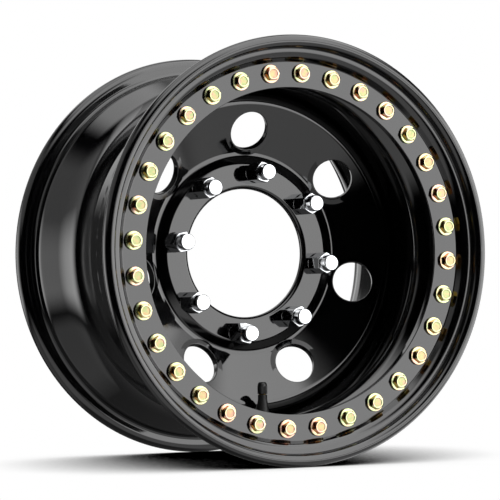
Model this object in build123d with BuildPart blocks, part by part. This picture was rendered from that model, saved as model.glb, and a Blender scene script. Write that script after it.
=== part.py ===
from build123d import *

import os
from math import cos, radians, sin, tan

# Eight-lug steel beadlock wheel, 15 inch by 8 inch, drawn at its real size in millimetres.
# The spin axis is Y, with -Y outboard, +Z up and the origin at the middle of the hub face.
# Section points are (radius, depth), where depth runs inboard from the clamp ring's flat face.

# Driving dimensions of the wheel as a whole
hub_inset = 109.5          # depth of the hub face
rim_depth = 217.8          # depth of the back edge of the rim
bead_seat_r = 189.8        # 15 inch bead seat
flange_height = 16.5       # back flange above the bead seat
fit_gap = 0.2              # between curved faces that are pressed or welded together
bond_gap = 0.05            # between small faces that are bonded or seated

# Clamp ring and its bolts
clamp_bore_inset = 27.7    # the ring's bore, inside the bead seat
clamp_sheet = 6.35
land_foot_inset = 1.9      # where the sloped land leaves the flat face, inside the bead seat
land_run = 6.3
land_rise = 8.0            # how far the land stands out from the flat face
land_back_run = 5.2
land_back_drop = 3.9
foot_back_run = 2.6
land_foot_bend = 2.0
land_top_bend = 11.0
land_back_bend = 3.0
foot_back_bend = 8.0
lip_tube_r = 6.5           # rolled edge
lip_reach = 17.5           # middle of the rolled edge, outside the bead seat
lip_rise = 11.5            # middle of the rolled edge, outboard of the flat face
lip_blend = 1.5
bolt_inset = 13.3          # bolt circle, inside the bead seat
bolt_count = 32
bolt_phase = 176.38        # degrees, counter-clockwise seen from outboard
bolt_r = 3.97              # 5/16 inch
bolt_clearance = 0.35
bolt_across_flats = 12.7
bolt_flange_r = 9.3
bolt_flange_h = 2.9
bolt_flange_edge = 2.5
bolt_head_h = 7.9
bolt_hex_bevel = 1.7
bolt_hex_bevel_h = 0.9
bolt_dish_r = 4.6
bolt_dish_floor_r = 4.2
bolt_dish_depth = 0.5
bolt_turn = 18.0           # degrees, about which the heads' turns are spread
bolt_turn_spread = 16.0
bolt_turn_step = 140.0
bolt_thread_gap = 0.09
bolt_thread_past = 2.0     # thread showing behind the inner ring

# Inner bead ring, welded to the outboard end of the barrel
bead_ring_bore_inset = 24.8
bead_ring_plate = 8.0
bead_ring_flange = 5.0
bead_ring_flange_height = 10.2
bead_pocket = 6.5          # depth of the step that carries the tyre bead
bead_ring_edge = 1.5
bead_pocket_root = 2.0
bead_ring_root = 1.0

# Barrel
barrel_sheet = 4.5
well_drop = 19.8           # the drop centre's outside, below the bead seat
seat_width = 14.5          # outboard seat, behind the bead ring
well_entry = 14.0          # length of the slope from that seat into the well
well_exit = 34.0           # length of the slope from the well to the inboard seat
inboard_seat = 10.0
inboard_seat_fall = 1.4
back_flange_width = 10.5
back_flange_lean = 0.8
seat_bend = 8.0
well_entry_bend = 10.0
well_exit_bend = 30.0
flange_root_bend = 5.0
flange_roll = 9.0

# Centre disc
disc_sheet = 7.0
hub_bore_r = 65.4
bore_round = 4.5
pad_margin = 7.95          # lug pad, past the lug circle
valley_run = 10.9          # from the edge of the pad out to the valley
valley_drop = 5.1
shoulder_width = 10.3
shoulder_rise = 18.6       # the shoulder stands this far outboard of the lug pad
skirt_turn = 11.5
skirt_length = 15.5        # the skirt ends this far behind the lug pad
pad_bend = 7.0
valley_bend = 8.0
shoulder_bend = 11.0
skirt_bend = 9.0
vent_count = 7
vent_share = 0.756         # vent diameter, as a share of the web's width
vent_place = 0.431         # middle of a vent on the web, from the valley to the shoulder
vent_phase = -14.2
lug_count = 8
lug_circle_r = 82.55       # 8 on 6.5 inch
lug_phase = 82.2
lug_hole_r = 7.6
lug_seat_r = 10.3
lug_seat_angle = 60.0

# Lug nuts
nut_across_flats = 19.05   # 3/4 inch
nut_height = 32.0
nut_hex_end = 22.0
nut_hex_bevel = 0.6
nut_collar_h = 0.8         # round collar between the seat cone and the hex
nut_seat_lead = 1.0        # the seat cone stops this far above the stud hole
nut_neck_r = 8.4
nut_cap_r = 8.3
nut_cap_round = 1.5
nut_bore_r = 6.3
nut_bore_depth = 24.0
nut_seat_gap = 0.1

# Tyre valve, standing on the inside of the barrel at the bottom of the wheel
valve_depth = 72.0
valve_hole_r = 5.65
valve_button_r = 8.4
valve_button_h = 6.0
valve_button_lead = 3.3
valve_button_tip_r = 5.88
valve_foot_r = 7.3
valve_foot_h = 2.15
valve_waist_r = 6.0
valve_waist_h = 8.6
valve_neck_r = 4.7
valve_neck_length = 4.3
valve_edge = 0.8
valve_blend = 6.0
stem_height = 32.0
stem_r = 3.85
stem_root_r = 3.0
stem_root_sink = 4.8
stem_tip_bevel = 0.5
core_chamber_r = 2.65
air_way_r = 1.9
core_depth = 16.5          # from the tip of the stem to the foot of the core
core_sleeve_r = 1.7
core_sleeve_length = 5.0
core_seal_h = 3.0
core_wall = 0.3
pin_r = 0.7
pin_sink = 0.3             # the pin's head below the tip of the stem
pin_gap = 0.1
pin_collar_h = 0.8
plunger_r = 1.2
plunger_h = 0.7
plunger_seal_h = 1.5
spring_wire_r = 0.17
spring_turns = 4
cap_wall = 1.0
cap_roof = 1.2
cap_overhang = 9.6
cap_foot_gap = 0.9         # between the rubber and the foot of the cap
cap_foot_round = 0.4
cap_shoulder_round = 2.0
cap_top_round = 0.8
cap_thread_gap = 0.12
cap_seal_h = 1.0

# Radii that follow the bead seat, so that the rings, bolts, barrel, disc and valve keep together
clamp_bore_r = bead_seat_r - clamp_bore_inset
bolt_circle_r = bead_seat_r - bolt_inset
bead_ring_bore_r = bead_seat_r - bead_ring_bore_inset
well_r = bead_seat_r - well_drop

# Radii of the disc that follow the lug circle, and heights of the rubber that follow the stem
pad_r = lug_circle_r + pad_margin
valley_r = pad_r + valley_run
valve_rubber_h = stem_height - cap_overhang - cap_foot_gap
valve_neck_h = valve_rubber_h - valve_neck_length

section = Plane((0, -hub_inset, 0))


def face_plane(depth):
    """A plane across the spin axis, seen from outboard with X right and Z up."""
    return Plane((0, depth - hub_inset, 0), x_dir=(1, 0, 0), z_dir=(0, -1, 0))


os.makedirs("parts", exist_ok=True)

# Clamp ring: pressed from plate, with a sloped land and a rolled outer edge.
lip_r = bead_seat_r + lip_reach
land_foot_r = bead_seat_r - land_foot_inset
land_top_r = land_foot_r + land_run
lip_root_r = lip_r - 0.4 * lip_tube_r
clamp_points = [
    (clamp_bore_r, 0),
    (land_foot_r, 0),
    (land_top_r, -land_rise),
    (lip_root_r, -lip_rise + 0.3 * lip_tube_r),
    (lip_root_r, -lip_rise + 0.85 * lip_tube_r),
    (land_top_r + land_back_run, -land_rise + land_back_drop),
    (land_foot_r + foot_back_run, clamp_sheet),
    (clamp_bore_r, clamp_sheet),
]
clamp_bends = [0, land_foot_bend, land_top_bend, 0, 0, land_back_bend, foot_back_bend, 0]
with BuildPart() as clamp_ring:
    with BuildSketch(section) as clamp_section:
        with BuildLine():
            FilletPolyline(*clamp_points, radius=clamp_bends, close=True)
        make_face()
        with Locations((lip_r, -lip_rise)):
            Circle(lip_tube_r)
        fillet(
            clamp_section.vertices().sort_by_distance((lip_r - lip_tube_r, -land_rise - hub_inset))[0],
            radius=lip_blend,
        )
    revolve(axis=Axis.Y)
    with BuildSketch(face_plane(0)):
        with PolarLocations(bolt_circle_r, bolt_count, start_angle=bolt_phase):
            Circle(bolt_r + bolt_clearance)
    extrude(amount=-clamp_sheet, mode=Mode.SUBTRACT)
clamp_ring.part.label = "clamp_ring"
export_step(clamp_ring.part, "parts/clamp_ring.step")

# Inner bead ring: turned, with tapped holes and a flange that backs the tyre bead.
ring_front = clamp_sheet
pocket_face = ring_front + bead_pocket
ring_back = pocket_face + bead_ring_flange
plate_back = ring_front + bead_ring_plate
bead_ring_points = [
    (bead_ring_bore_r, ring_front),
    (bead_seat_r, ring_front),
    (bead_seat_r, pocket_face),
    (bead_seat_r + bead_ring_flange_height, pocket_face),
    (bead_seat_r + bead_ring_flange_height, ring_back),
    (bead_seat_r - barrel_sheet, ring_back),
    (bead_seat_r - barrel_sheet, plate_back),
    (bead_ring_bore_r, plate_back),
]
bead_ring_bends = [0, bead_ring_edge, bead_pocket_root, bead_ring_edge, bead_ring_edge, 0, bead_ring_root, 0]
with BuildPart() as inner_bead_ring:
    with BuildSketch(section):
        with BuildLine():
            FilletPolyline(*bead_ring_points, radius=bead_ring_bends, close=True)
        make_face()
    revolve(axis=Axis.Y)
    with BuildSketch(face_plane(ring_front)):
        with PolarLocations(bolt_circle_r, bolt_count, start_angle=bolt_phase):
            Circle(bolt_r + bolt_thread_gap)
    extrude(amount=-bead_ring_plate, mode=Mode.SUBTRACT)
inner_bead_ring.part.label = "inner_bead_ring"
export_step(inner_bead_ring.part, "parts/inner_bead_ring.step")

# Barrel: one rolled sheet, from the outboard seat through the drop centre to the back flange.
seat_end = ring_back + seat_width
flange_face = rim_depth - back_flange_width
inboard_seat_start = flange_face - inboard_seat
flange_r = bead_seat_r + flange_height
barrel_points = [
    (bead_seat_r, ring_back),
    (bead_seat_r, seat_end),
    (well_r, seat_end + well_entry),
    (well_r, inboard_seat_start - well_exit),
    (bead_seat_r - inboard_seat_fall, inboard_seat_start),
    (bead_seat_r, flange_face),
    (flange_r, flange_face + back_flange_lean),
    (flange_r, rim_depth),
]
barrel_bends = [seat_bend, well_entry_bend, well_exit_bend, seat_bend, flange_root_bend, flange_roll]
valve_base = Plane((0, valve_depth - hub_inset, -well_r + barrel_sheet), x_dir=(1, 0, 0), z_dir=(0, 0, 1))
with BuildPart() as rim_barrel:
    with BuildSketch(section):
        with BuildLine():
            FilletPolyline(*barrel_points, radius=barrel_bends)
            offset(amount=barrel_sheet, side=Side.LEFT)
        make_face()
    revolve(axis=Axis.Y)
    with BuildSketch(valve_base):
        Circle(valve_hole_r)
    extrude(amount=2 * barrel_sheet, both=True, mode=Mode.SUBTRACT)
rim_barrel.part.label = "rim_barrel"
export_step(rim_barrel.part, "parts/rim_barrel.step")

# Centre disc: pressed from plate, with a raised lug pad, a coned web and a skirt inside the barrel.
pad_face = hub_inset - disc_sheet
skirt_r = well_r - barrel_sheet - fit_gap
shoulder_r = skirt_r - shoulder_width
disc_points = [
    (hub_bore_r, pad_face),
    (pad_r, pad_face),
    (valley_r, pad_face + valley_drop),
    (shoulder_r, pad_face - shoulder_rise),
    (skirt_r, pad_face - skirt_turn),
    (skirt_r, pad_face + skirt_length),
]
web_run = shoulder_r - valley_r
web_fall = shoulder_rise + valley_drop
vent_r = vent_share * web_run / 2
vent_circle_r = valley_r + vent_place * web_run
vent_depth = pad_face + valley_drop - vent_place * web_fall
with BuildPart() as centre_disc:
    with BuildSketch(section):
        with BuildLine():
            FilletPolyline(*disc_points, radius=[pad_bend, valley_bend, shoulder_bend, skirt_bend])
            offset(amount=disc_sheet, side=Side.LEFT)
        make_face()
    revolve(axis=Axis.Y)
    fillet(
        centre_disc.edges().filter_by(GeomType.CIRCLE).filter_by(lambda e: abs(e.radius - hub_bore_r) < 0.01)
        .sort_by(Axis.Y)[0],
        radius=min(bore_round, 0.7 * disc_sheet),
    )
    for vent in range(vent_count):
        angle = radians(vent_phase + 360 / vent_count * vent)
        vent_plane = Plane(
            (vent_circle_r * cos(angle), vent_depth - hub_inset, vent_circle_r * sin(angle)),
            x_dir=(-sin(angle), 0, cos(angle)),
            z_dir=(-web_fall * cos(angle), -web_run, -web_fall * sin(angle)),
        )
        with BuildSketch(vent_plane):
            Circle(vent_r)
        extrude(amount=2 * disc_sheet, both=True, mode=Mode.SUBTRACT)
    with Locations(face_plane(pad_face)):
        with PolarLocations(lug_circle_r, lug_count, start_angle=lug_phase):
            CounterSinkHole(lug_hole_r, lug_seat_r, counter_sink_angle=lug_seat_angle)
centre_disc.part.label = "centre_disc"
export_step(centre_disc.part, "parts/centre_disc.step")

# Clamp bolts: flanged hex heads, each left at the turn where it came tight.
shank_length = plate_back + bolt_thread_past
hex_corner_r = bolt_across_flats / 2 / cos(radians(30))
shank_points = [
    (0, -shank_length),
    (bolt_r, -shank_length),
    (bolt_r, 0),
    (bolt_flange_r, 0),
    (bolt_flange_r, bolt_flange_edge),
    (hex_corner_r, bolt_flange_h),
    (0, bolt_flange_h),
]
head_points = [
    (0, 0),
    (hex_corner_r, 0),
    (hex_corner_r, bolt_head_h - bolt_hex_bevel_h),
    (hex_corner_r - bolt_hex_bevel, bolt_head_h),
    (bolt_dish_r, bolt_head_h),
    (bolt_dish_floor_r, bolt_head_h - bolt_dish_depth),
    (0, bolt_head_h - bolt_dish_depth),
]
with BuildPart() as bolt_head:
    with BuildSketch(Plane.XZ):
        with BuildLine():
            Polyline(*head_points, close=True)
        make_face()
    revolve(axis=Axis.Z)
    with BuildSketch():
        RegularPolygon(bolt_across_flats / 2, side_count=6, major_radius=False)
    extrude(amount=bolt_head_h, mode=Mode.INTERSECT)
with BuildPart() as bolt:
    with BuildSketch(Plane.XZ):
        with BuildLine():
            Polyline(*shank_points, close=True)
        make_face()
    revolve(axis=Axis.Z)
    add(bolt_head.part)
with BuildPart() as clamp_bolts:
    for place in range(bolt_count):
        turn = bolt_turn + bolt_turn_spread * sin(radians(bolt_turn_step * place))
        with Locations(face_plane(0)):
            with PolarLocations(bolt_circle_r, 1, start_angle=bolt_phase + 360 / bolt_count * place, rotate=False):
                add(bolt.part, rotation=(0, 0, turn))
clamp_bolts.part.label = "clamp_bolts"
export_step(clamp_bolts.part, "parts/clamp_bolts.step")

# Lug nuts: closed hex nuts that stand in the coned seats of the lug pad, each at its own turn.
nut_turns = [45, 20, 10, 30, 45, 20, 30, 30]     # degrees, from the first nut round
nut_corner_r = nut_across_flats / 2 / cos(radians(30))
seat_slope = tan(radians(lug_seat_angle / 2))
nut_seat_r = lug_seat_r - nut_seat_gap * seat_slope
nut_seat_length = (lug_seat_r - lug_hole_r) / seat_slope - nut_seat_lead
nut_hex_points = [
    (0, nut_collar_h),
    (nut_corner_r, nut_collar_h),
    (nut_corner_r, nut_hex_end - nut_hex_bevel),
    (nut_corner_r - 2 * nut_hex_bevel, nut_hex_end),
    (0, nut_hex_end),
]
nut_core_points = [
    (0, -nut_seat_length),
    (nut_seat_r - nut_seat_length * seat_slope, -nut_seat_length),
    (nut_seat_r, 0),
    (nut_seat_r, nut_collar_h),
    (nut_neck_r, nut_collar_h),
    (nut_cap_r, nut_height),
    (0, nut_height),
]
with BuildPart() as lug_nut:
    with BuildSketch(Plane.XZ):
        with BuildLine():
            Polyline(*nut_hex_points, close=True)
        make_face()
    revolve(axis=Axis.Z)
    with BuildSketch():
        RegularPolygon(nut_across_flats / 2, side_count=6, major_radius=False)
    extrude(amount=nut_hex_end, mode=Mode.INTERSECT)
    with BuildSketch(Plane.XZ):
        with BuildLine():
            FilletPolyline(*nut_core_points, radius=[0, 0, 0, 0, 0, nut_cap_round, 0], close=True)
        make_face()
    revolve(axis=Axis.Z)
    with BuildSketch(Plane.XY.offset(nut_bore_depth)):
        Circle(nut_bore_r)
    extrude(amount=-nut_bore_depth - nut_seat_length, mode=Mode.SUBTRACT)
with BuildPart() as lug_nuts:
    for place in range(lug_count):
        turn = nut_turns[place % len(nut_turns)]
        with Locations(face_plane(pad_face)):
            with PolarLocations(lug_circle_r, 1, start_angle=lug_phase + 360 / lug_count * place, rotate=False):
                add(lug_nut.part, rotation=(0, 0, turn))
lug_nuts.part.label = "lug_nuts"
export_step(lug_nuts.part, "parts/lug_nuts.step")

# Tyre valve: its pieces are turned about one upright line, with heights from the barrel's inside.
valve_y = valve_depth - hub_inset
valve_floor = -well_r + barrel_sheet
valve_section = Plane((0, valve_y, valve_floor), x_dir=(1, 0, 0), z_dir=(0, -1, 0))
valve_line = Axis((0, valve_y, valve_floor), (0, 0, 1))
wall_outside = -barrel_sheet

# Valve body: moulded rubber, snapped into the barrel's hole by the groove above its button.
body_bore_r = stem_root_r + bond_gap
body_points = [
    (body_bore_r, wall_outside - valve_button_h),
    (valve_button_tip_r, wall_outside - valve_button_h),
    (valve_button_r, wall_outside - valve_button_h + valve_button_lead),
    (valve_button_r, wall_outside - fit_gap),
    (valve_hole_r - fit_gap, wall_outside - fit_gap),
    (valve_hole_r - fit_gap, 1.5 * fit_gap),
    (valve_foot_r, 1.5 * fit_gap),
    (valve_foot_r, valve_foot_h),
    (valve_waist_r, valve_waist_h),
    (valve_neck_r, valve_neck_h),
    (valve_neck_r, valve_rubber_h),
    (body_bore_r, valve_rubber_h),
]
body_bends = [0, 0, valve_edge, 0, 0, 0, valve_edge, valve_edge, valve_blend, valve_blend, valve_edge, 0]
with BuildPart() as valve_body:
    with BuildSketch(valve_section):
        with BuildLine():
            FilletPolyline(*body_points, radius=body_bends, close=True)
        make_face()
    revolve(axis=valve_line)
valve_body.part.label = "valve_body"
export_step(valve_body.part, "parts/valve_body.step")

# Valve stem: a brass tube bonded into the rubber, threaded outside for the cap and inside for the core.
core_foot = stem_height - core_depth
core_seat = core_foot + core_sleeve_length
stem_points = [
    (air_way_r, wall_outside - stem_root_sink),
    (stem_root_r, wall_outside - stem_root_sink),
    (stem_root_r, valve_rubber_h + bond_gap),
    (stem_r, valve_rubber_h + bond_gap),
    (stem_r, stem_height - stem_tip_bevel),
    (stem_r - stem_tip_bevel, stem_height),
    (core_chamber_r, stem_height),
    (core_chamber_r, core_seat),
    (air_way_r, core_seat - (core_chamber_r - air_way_r)),
]
with BuildPart() as valve_stem:
    with BuildSketch(valve_section):
        with BuildLine():
            Polyline(*stem_points, close=True)
        make_face()
    revolve(axis=valve_line)
valve_stem.part.label = "valve_stem"
export_step(valve_stem.part, "parts/valve_stem.step")

# Core plug: screwed into the stem, with a sleeve below that houses the spring round the pin.
plug_foot = core_seat + core_seal_h + bond_gap
spring_room_r = core_sleeve_r - core_wall
spring_floor = core_foot + 2 * core_wall
pin_way_r = pin_r + pin_gap
plug_points = [
    (pin_way_r, core_foot),
    (core_sleeve_r, core_foot),
    (core_sleeve_r, plug_foot),
    (core_chamber_r - pin_gap, plug_foot),
    (core_chamber_r - pin_gap, stem_height - 2 * pin_sink),
    (pin_way_r, stem_height - 2 * pin_sink),
    (pin_way_r, plug_foot + core_wall),
    (spring_room_r, plug_foot + core_wall),
    (spring_room_r, spring_floor),
    (pin_way_r, spring_floor),
]
with BuildPart() as valve_core_plug:
    with BuildSketch(valve_section):
        with BuildLine():
            Polyline(*plug_points, close=True)
        make_face()
    revolve(axis=valve_line)
valve_core_plug.part.label = "valve_core_plug"
export_step(valve_core_plug.part, "parts/valve_core_plug.step")

# Core seal: a ring under the plug that closes on the cone inside the stem.
with BuildPart() as valve_core_seal:
    with BuildSketch(valve_section):
        with BuildLine():
            Polyline(
                (core_sleeve_r + bond_gap, core_seat + bond_gap),
                (core_chamber_r - pin_gap, core_seat + bond_gap),
                (core_chamber_r - pin_gap, core_seat + core_seal_h),
                (core_sleeve_r + bond_gap, core_seat + core_seal_h),
                close=True,
            )
        make_face()
    revolve(axis=valve_line)
valve_core_seal.part.label = "valve_core_seal"
export_step(valve_core_seal.part, "parts/valve_core_seal.step")

# Core pin: the spring lifts it by the collar, and its plunger closes the foot of the core.
collar_top = plug_foot - bond_gap
collar_foot = collar_top - pin_collar_h
plunger_top = core_foot - plunger_seal_h - 2 * bond_gap
pin_points = [
    (0, plunger_top - plunger_h),
    (plunger_r, plunger_top - plunger_h),
    (plunger_r, plunger_top),
    (pin_r, plunger_top),
    (pin_r, collar_foot),
    (spring_room_r - 2 * pin_gap, collar_foot),
    (spring_room_r - 2 * pin_gap, collar_top),
    (pin_r, collar_top),
    (pin_r, stem_height - pin_sink),
    (0, stem_height - pin_sink),
]
with BuildPart() as valve_core_pin:
    with BuildSketch(valve_section):
        with BuildLine():
            Polyline(*pin_points, close=True)
        make_face()
    revolve(axis=valve_line)
valve_core_pin.part.label = "valve_core_pin"
export_step(valve_core_pin.part, "parts/valve_core_pin.step")

# Plunger seal: a rubber washer on the pin, held against the foot of the core.
with BuildPart() as valve_plunger_seal:
    with BuildSketch(valve_section):
        with BuildLine():
            Polyline(
                (pin_r + bond_gap, plunger_top + bond_gap),
                (core_sleeve_r - bond_gap, plunger_top + bond_gap),
                (core_sleeve_r - bond_gap, core_foot - bond_gap),
                (pin_r + bond_gap, core_foot - bond_gap),
                close=True,
            )
        make_face()
    revolve(axis=valve_line)
valve_plunger_seal.part.label = "valve_plunger_seal"
export_step(valve_plunger_seal.part, "parts/valve_plunger_seal.step")

# Core spring: a wire coil that stands on the floor of the sleeve and carries the pin's collar.
spring_foot = spring_floor + spring_wire_r + bond_gap
spring_height = collar_foot - spring_foot - spring_wire_r - bond_gap
coil_r = (pin_r + spring_room_r) / 2
spring_plane = Plane((0, valve_y, valve_floor + spring_foot))
with BuildPart() as valve_core_spring:
    with BuildLine(spring_plane) as coil:
        Helix(spring_height / spring_turns, spring_height, coil_r)
    with BuildSketch(Plane(coil.line @ 0, z_dir=coil.line % 0)):
        Circle(spring_wire_r)
    sweep()
valve_core_spring.part.label = "valve_core_spring"
export_step(valve_core_spring.part, "parts/valve_core_spring.step")

# Valve cap and the sealing washer inside it.
cap_bore_r = stem_r + cap_thread_gap
cap_r = cap_bore_r + cap_wall
cap_ceiling = stem_height + cap_seal_h + 2 * bond_gap
cap_top = cap_ceiling + cap_roof
cap_foot = stem_height - cap_overhang
cap_points = [
    (0, cap_ceiling),
    (cap_bore_r, cap_ceiling),
    (cap_bore_r, cap_foot),
    (cap_r, cap_foot),
    (cap_r, stem_height - cap_wall),
    (cap_bore_r, cap_top),
    (0, cap_top),
]
cap_bends = [0, 0, 0, cap_foot_round, cap_shoulder_round, cap_top_round, 0]
with BuildPart() as valve_cap:
    with BuildSketch(valve_section):
        with BuildLine():
            FilletPolyline(*cap_points, radius=cap_bends, close=True)
        make_face()
    revolve(axis=valve_line)
valve_cap.part.label = "valve_cap"
export_step(valve_cap.part, "parts/valve_cap.step")

with BuildPart() as valve_cap_seal:
    with BuildSketch(valve_section):
        with BuildLine():
            Polyline(
                (pin_way_r, stem_height + bond_gap),
                (cap_bore_r - bond_gap, stem_height + bond_gap),
                (cap_bore_r - bond_gap, cap_ceiling - bond_gap),
                (pin_way_r, cap_ceiling - bond_gap),
                close=True,
            )
        make_face()
    revolve(axis=valve_line)
valve_cap_seal.part.label = "valve_cap_seal"
export_step(valve_cap_seal.part, "parts/valve_cap_seal.step")
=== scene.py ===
import math

import bpy
import numpy as np
from mathutils import Matrix, Vector, noise


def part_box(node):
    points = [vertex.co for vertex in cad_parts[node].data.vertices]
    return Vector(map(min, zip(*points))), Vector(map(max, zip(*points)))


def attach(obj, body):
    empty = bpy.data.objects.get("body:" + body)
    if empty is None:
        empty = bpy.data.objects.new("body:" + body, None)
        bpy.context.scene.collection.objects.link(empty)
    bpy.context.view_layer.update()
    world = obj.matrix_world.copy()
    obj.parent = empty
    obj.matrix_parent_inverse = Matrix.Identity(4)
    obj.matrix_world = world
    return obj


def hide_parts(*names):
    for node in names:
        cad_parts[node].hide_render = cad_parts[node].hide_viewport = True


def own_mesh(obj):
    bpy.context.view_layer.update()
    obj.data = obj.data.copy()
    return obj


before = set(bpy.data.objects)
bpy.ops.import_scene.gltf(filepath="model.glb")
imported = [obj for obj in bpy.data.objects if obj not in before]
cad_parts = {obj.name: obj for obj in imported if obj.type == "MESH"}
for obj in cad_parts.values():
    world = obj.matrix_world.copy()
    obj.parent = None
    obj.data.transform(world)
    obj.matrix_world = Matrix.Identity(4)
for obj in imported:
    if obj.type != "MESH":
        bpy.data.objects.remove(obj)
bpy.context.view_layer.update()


# Rim barrel
# One sheet of 4.5 mm steel, rolled to a drop-centre section, welded into a hoop and coated gloss black.
# Its outboard end is welded to the bead ring, and its inboard end is rolled out into the back flange.

mm = 0.001
hub_inset = 109.5       # from the clamp ring's bolt face back to the hub's mounting face, where the origin is
wheel_axis = Matrix((
    (mm, 0, 0, 0),
    (0, 0, mm, -mm * hub_inset),
    (0, -mm, 0, 0),
    (0, 0, 0, 1),
))
wheel_facets = 256      # round the wheel, where each flat falls short of the circle by under 0.02 mm
barrel_gauge = 4.5
bead_seat_r = 189.8
drop_centre_r = 170.0
flange_r = 206.3
cut_edge = 0.7          # bend left on a cut edge
barrel_path = [         # radius, depth behind the bolt face, and bend of each corner
    (bead_seat_r, 17.85, cut_edge),
    (bead_seat_r, 32.35, 8.0),
    (drop_centre_r, 46.35, 10.0),
    (drop_centre_r, 163.3, 60.0),
    (188.4, 197.3, 14.0),
    (bead_seat_r, 207.3, 5.0),
    (flange_r, 208.1, 9.0),
    (flange_r, 217.8, cut_edge),
]
skirt_end = 112.0       # where the barrel leaves the disc's skirt that is pressed into it
skirt_step = 0.55       # how far it shrinks back beyond that
skirt_ease = 10.0       # over about what length it does
shrink_fade = 150.0     # where the shrinkage starts to fade
shrink_gone = 195.0
weld_line = 98.0        # the heat of the disc's weld has drawn a shallow ragged groove here
weld_groove = 0.12
weld_groove_width = 1.1
weld_groove_stray = 1.2


def linear(code):
    """Linear colour of an sRGB hex value."""
    parts = [int(code[i:i + 2], 16) / 255 for i in (1, 3, 5)]
    return (*[p / 12.92 if p <= 0.04045 else ((p + 0.055) / 1.055) ** 2.4 for p in parts], 1)


def node(tree, kind, inputs=None, **settings):
    """Adds a node, with its settings and with a value or a link for each named or numbered socket."""
    made = tree.nodes.new(kind)
    for key, value in settings.items():
        setattr(made, key, value)
    for socket, value in (inputs or {}).items():
        if isinstance(value, bpy.types.NodeSocket):
            tree.links.new(value, made.inputs[socket])
        else:
            made.inputs[socket].default_value = value
    return made


def blank_finish(name):
    """Opens a new material, and gives it with its empty tree."""
    material = bpy.data.materials.new(name)
    material.use_nodes = True
    material.node_tree.nodes.clear()
    return material, material.node_tree


def sheet(path, gauge):
    """Closes a bent sheet: the path's corners, then the same ones a gauge to its left, back to the start."""
    spots = np.array([p[:2] for p in path], float)
    runs = np.diff(spots, axis=0)
    headings = np.arctan2(runs[:, 1], runs[:, 0])
    far = []
    for i, (r, depth, bend) in enumerate(path):
        before = headings[max(i - 1, 0)]
        after = headings[min(i, len(runs) - 1)]
        turn = math.remainder(after - before, math.tau)
        middle = before + turn / 2
        shift = gauge / math.cos(turn / 2)
        inner = cut_edge if i in (0, len(runs)) else max(bend - math.copysign(gauge, turn), cut_edge)
        far.append((r - shift * math.sin(middle), depth + shift * math.cos(middle), inner))
    return list(path) + far[::-1]


def rounded(corners, swing=5.0, run=1000.0):
    """Walks round a closed section of (radius, height, bend) corners, giving points with outward normals.

    A bend gets a point every swing degrees at most, and a straight gets one every run millimetres at most.
    """
    spots = np.array([c[:2] for c in corners], float)
    ahead = np.roll(spots, -1, axis=0)
    if np.sum(spots[:, 0] * ahead[:, 1] - ahead[:, 0] * spots[:, 1]) < 0:
        corners = corners[::-1]
        spots = spots[::-1]
        ahead = np.roll(spots, -1, axis=0)
    walk = []
    for i, (r, height, bend) in enumerate(corners):
        into = spots[i] - spots[i - 1]
        away = ahead[i] - spots[i]
        heading = math.atan2(into[1], into[0])
        turn = math.remainder(math.atan2(away[1], away[0]) - heading, math.tau)
        side = math.copysign(bend, turn)
        reach = bend * math.tan(abs(turn) / 2)
        middle_r = r - reach * math.cos(heading) - side * math.sin(heading)
        middle_h = height - reach * math.sin(heading) + side * math.cos(heading)
        steps = max(2, math.ceil(abs(math.degrees(turn)) / swing))
        for k in range(steps + 1):
            angle = heading + turn * k / steps
            out_r = math.sin(angle)
            out_h = -math.cos(angle)
            spot = np.array((middle_r + side * out_r, middle_h + side * out_h, out_r, out_h))
            if k == 0 and walk:
                pieces = math.ceil(math.dist(walk[-1][:2], spot[:2]) / run)
                walk += [walk[-1] + (spot - walk[-1]) * j / pieces for j in range(1, pieces)]
            walk.append(spot)
    pieces = math.ceil(math.dist(walk[-1][:2], walk[0][:2]) / run)
    walk += [walk[-1] + (walk[0] - walk[-1]) * j / pieces for j in range(1, pieces)]
    return np.array(walk)


def lofted(rings, around=True):
    """Joins rings into a skin. A ring is (points, normals), one point is a tip, and None leaves a break."""
    points = []
    normals = []
    faces = []
    count = 0
    last = None
    for ring in rings + [rings[0]] * around:
        if ring is None:
            last = None
            continue
        if ring is rings[0] and count:
            here = np.arange(len(ring[0]))
        else:
            here = count + np.arange(len(ring[0]))
            points.append(ring[0])
            normals.append(ring[1])
            count += len(ring[0])
        if last is not None and len(last) > 1 and len(here) > 1:
            faces += np.stack((last, np.roll(last, -1), np.roll(here, -1), here), 1).tolist()
        elif last is not None and len(last) > 1:
            faces += np.stack((last, np.roll(last, -1), np.full(len(last), here[0])), 1).tolist()
        elif last is not None and len(here) > 1:
            faces += np.stack((np.full(len(here), last[0]), np.roll(here, -1), here), 1).tolist()
        last = here
    return np.concatenate(points), np.concatenate(normals), faces


def turned(outline, facets, dent=None):
    """Spins a section about its axis. A dent is a small inset of the outer side, by height and angle."""
    axis_r = 1e-6           # a point nearer the axis than this is a tip
    outer_side = 0.3        # share of a normal that faces off the axis, past which a point can be dented
    step = 0.1              # millimetres along the axis, over which the dent's slope is taken
    swing = 0.002           # radians round the axis, over which it is taken too
    angle = np.arange(facets) * math.tau / facets
    round_x = np.cos(angle)
    round_y = np.sin(angle)
    rings = []
    for r, height, out_r, out_h in outline:
        if r < axis_r:
            rings.append((np.array([[0, 0, height]]), np.array([[0, 0, math.copysign(1, out_h)]])))
            continue
        radius = np.full(facets, r)
        normals = np.stack((out_r * round_x, out_r * round_y, np.full(facets, out_h)), 1)
        if dent is not None and out_r > outer_side:
            slope = (dent(height + step, angle) - dent(height - step, angle)) / (2 * step)
            drift = (dent(height, angle + swing) - dent(height, angle - swing)) / (2 * swing * r)
            radius = radius - dent(height, angle)
            normals = normals + np.stack((-drift * round_y, drift * round_x, slope), 1)
        rings.append((np.stack((radius * round_x, radius * round_y, np.full(facets, height)), 1), normals))
    return lofted(rings)


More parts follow.
